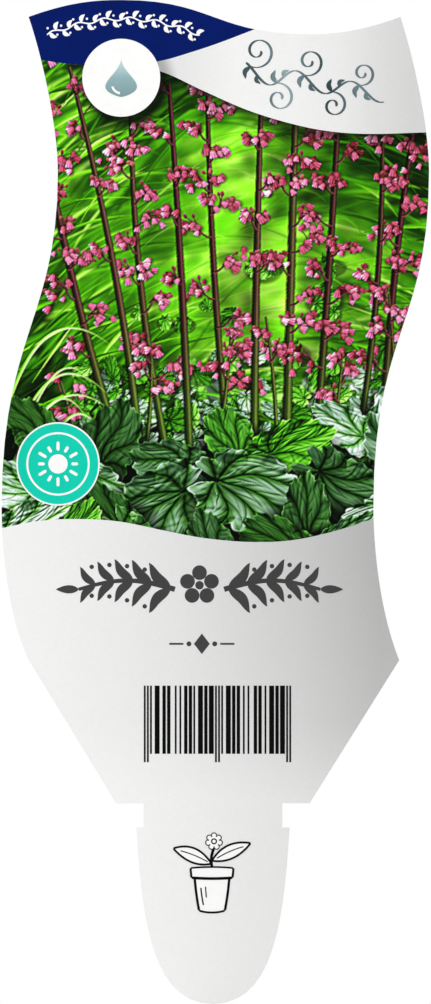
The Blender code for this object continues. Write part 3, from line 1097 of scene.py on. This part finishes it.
def band_tint(tree, place):
    """The silver-grey band: light in its middle, darker to its ends, with the disc's shadow on it."""
    greys = along((
        (0.0, "#e2e2e4"), (0.12, "#e8e8e8"), (0.3, "#f2f2f2"), (0.52, "#f0f0f0"), (0.72, "#e9e9e9"),
        (0.85, "#dedede"), (1.0, "#d4d4d4")), low=-9, high=34)(tree, place)
    x, z, radius = DISC
    shift, reach, darkest = 0.8, 2.6, 0.55
    shadow_middle = (x + shift) * MM, (FACE - FILM) * MM, (z - shift) * MM
    away = add(tree, "VectorMath", {0: place, 1: shadow_middle}, operation="DISTANCE")
    fade = add(tree, "MapRange", {
        "Value": away.outputs["Value"], "From Min": radius * MM, "From Max": (radius + reach) * MM,
        "To Min": darkest, "To Max": 1.0}, interpolation_type="SMOOTHSTEP")
    both = {"Factor": 1.0, "A": greys, "B": fade.outputs["Result"]}
    return add(tree, "Mix", both, data_type="RGBA", blend_type="MULTIPLY").outputs["Result"]


def field_tint(tree, place):
    """The grey fade under the picture: a depth that grows to the right times a share that grows upwards."""
    left, right, foot, head = -34.6, 28.5, -30, 43.2
    depth = add(tree, "ValToRGB", {"Fac": way_along(tree, place, "X", left, right)}, stops=(
        (0.0, 0.17), (0.135, 0.21), (0.3, 0.28), (0.46, 0.38), (0.62, 0.52), (0.78, 0.67), (0.92, 0.85),
        (1.0, 0.97)))
    held = add(tree, "ValToRGB", {"Fac": way_along(tree, place, "Z", foot, head)}, stops=(
        (0.0, 0.46), (0.42, 0.53), (0.6, 0.83), (0.75, 0.90), (1.0, 1.0)))
    both = add(tree, "Math", {0: depth.outputs["Color"], 1: held.outputs["Color"]}, operation="MULTIPLY")
    grey = add(tree, "ValToRGB", {"Fac": both.outputs["Value"]}, stops=(
        (0.0, "#ffffff"), (0.25, "#ebebeb"), (0.5, "#d7d7d7"), (0.75, "#c3c3c3"), (1.0, "#afafaf")))
    return grey.outputs["Color"]


def painted(tree, place):
    """The four-colour picture: its tones come from the film's own painted attribute."""
    return add(tree, "Attribute", attribute_name="print").outputs["Color"]


# The studio

WORLD_SEEN, WORLD_LIGHT = 1.0, 0.807      # how bright the white world is to the camera, and as light
FRAME_MIDDLE = (0.43, 51.4)               # the middle of the camera's frame, x and z on the face
FRAME_HEIGHT, STAND_OFF = 171.3, 600.0    # the frame's height, and how far in front the camera stands
LAMP_AIM = (0, 0, 50.0)                   # where the lamps look, about half way up the label
FLOOR_HALF = 3000.0                       # half of the floor's width
SOFT_BOXES = (
    # name, place in m, size in m, watts
    ("key", (-0.55, -0.75, 0.32), 0.5, 2.15),
    ("fill", (0.75, -0.65, 0.12), 0.6, 1.7),
    ("back", (-0.45, 0.6, 0.35), 0.4, 1.6),
)


def lights():
    """Plain soft studio light: an even white world, and soft boxes in front and behind."""
    world = bpy.data.worlds.new("studio")
    bpy.context.scene.world = world
    world.use_nodes = True
    tree = world.node_tree
    tree.nodes.clear()
    path = add(tree, "LightPath")
    seen = add(tree, "MapRange", {"Value": path.outputs["Is Camera Ray"], "To Min": WORLD_LIGHT,
                                  "To Max": WORLD_SEEN})
    shade = add(tree, "Background", {"Color": (1, 1, 1, 1), "Strength": seen.outputs["Result"]})
    add(tree, "OutputWorld", {"Surface": shade.outputs[0]})
    aim = Vector(LAMP_AIM) * MM
    for name, place, size, watts in SOFT_BOXES:
        lamp = bpy.data.lights.new(name, "AREA")
        lamp.shape, lamp.size, lamp.energy = "DISK", size, watts
        box = bpy.data.objects.new(name, lamp)
        box.location = place
        box.rotation_euler = (Vector(place) - aim).to_track_quat("Z", "Y").to_euler()
        bpy.context.scene.collection.objects.link(box)


def camera():
    """Square on to the printed face and without perspective; the frame is as high as the label."""
    made = bpy.data.cameras.new("camera")
    made.type = "ORTHO"
    made.ortho_scale = FRAME_HEIGHT * MM
    seen = bpy.data.objects.new("camera", made)
    seen.location = FRAME_MIDDLE[0] * MM, -STAND_OFF * MM, FRAME_MIDDLE[1] * MM
    seen.rotation_euler = (np.pi / 2, 0, 0)
    bpy.context.scene.collection.objects.link(seen)
    bpy.context.scene.camera = seen


def floor():
    """A wide plain pale floor at the tip of the tongue: a flat square grid."""
    way = np.linspace(-FLOOR_HALF, FLOOR_HALF, 13)
    x, y = np.meshgrid(way, way)
    points = np.stack([x, y, 0 * x + FLOOR / MM], -1).reshape(-1, 3)
    piece = piece_of("floor", points, cells_of(x.shape), board())
    piece.visible_glossy = False


# The label: its inks, each with what it gives the eye, and its films

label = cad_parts["label"]
label.material_slots[0].material = polypropylene()

CANVAS = paint()
# Lush and sharp: the eye goes here first
full_colour = ink("four_colour_offset_print", painted)
# A calm metallic fade
band_grey = ink("silver_grey_offset_tint", band_tint)
# Makes the flat sheet look curved
field_grey = ink("grey_fade_offset_tint", field_tint)
# Deep and even, the darkest plain area
navy = ink("navy_offset_ink", clouds(5, "#00175f", "#001966"))
# Cool and bright, one small accent
teal = ink("teal_offset_ink", clouds(5, "#12ccb0", "#13d2b5"))
# Flatter and cleaner than the sheet
white = ink("opaque_white_screen_ink", clouds(5, "#f9f9f9", "#fefefe"))
# Crisp bars and lines
black = ink("black_offset_ink", clouds(5, "#040404", "#060606"))
# Softer than the black
dark_grey = ink("dark_grey_offset_ink", clouds(5, "#404040", "#444444"))
# Slate print with light and dark bands along it: a painted sheen, as hot foil would catch the light
slate = ink("slate_print_with_painted_foil_sheen", along((
    (0.0, "#3b4c50"), (0.2, "#4a5d62"), (0.34, "#93a8ad"), (0.46, "#566a6f"), (0.6, "#33454a"),
    (0.8, "#6d8388"), (1.0, "#2f4045")), low=3, high=31))
# A soft shine from dark to light upwards
silver = ink("silver_grey_offset_ink", along((
    (0.0, "#7f9ca1"), (0.5, "#93b4b8"), (1.0, "#cfe3e4")), low=120.4, high=127.2, axis="Z"))

for number, strip in enumerate(picture_strips(), 1):
    film(f"picture_print_{number}", [strip], 1, full_colour, picture_tones)
film("navy_corner_print", [corner_area()], 1, navy)
film("silver_band_print", [band_area()], 1, band_grey)
film("grey_field_print", field_areas(), 1, field_grey)

film("garland_print", garland(), 2, white)
# The scroll in slate ink, its light and dark bands a painted sheen
film("scroll_flourish_print", flourish(), 2, slate)
film("white_disc_print", [spot(*DISC, cells=48)], 2, white)
film("drop_emblem_print", [drop(DISC[0], DISC[1], size=6.6)], 3, silver)
highlight = hoop(DISC[0], DISC[1] - 1.1, inner=1.35, outer=1.75, start=195, end=262, count=24)
film("drop_highlight_print", [highlight], 4, white)
film("seal_rim_print", [spot(SEAL[0], SEAL[1], SEAL[2] + SEAL_RIM, cells=48)], 2, white)
film("teal_seal_print", [spot(*SEAL, cells=48)], 3, teal)
film("seal_drawing_print", seal_drawing(), 4, white)
film("laurel_print", laurel(), 2, dark_grey)
film("small_ornament_print", small_ornament(), 2, dark_grey)
film("bar_print", bars(), 2, black)
film("pot_ground_print", pot_ground(), 2, white)
film("pot_line_print", pot_lines(), 3, black)

floor()
lights()
camera()
bpy.context.scene.view_settings.view_transform = "Standard"
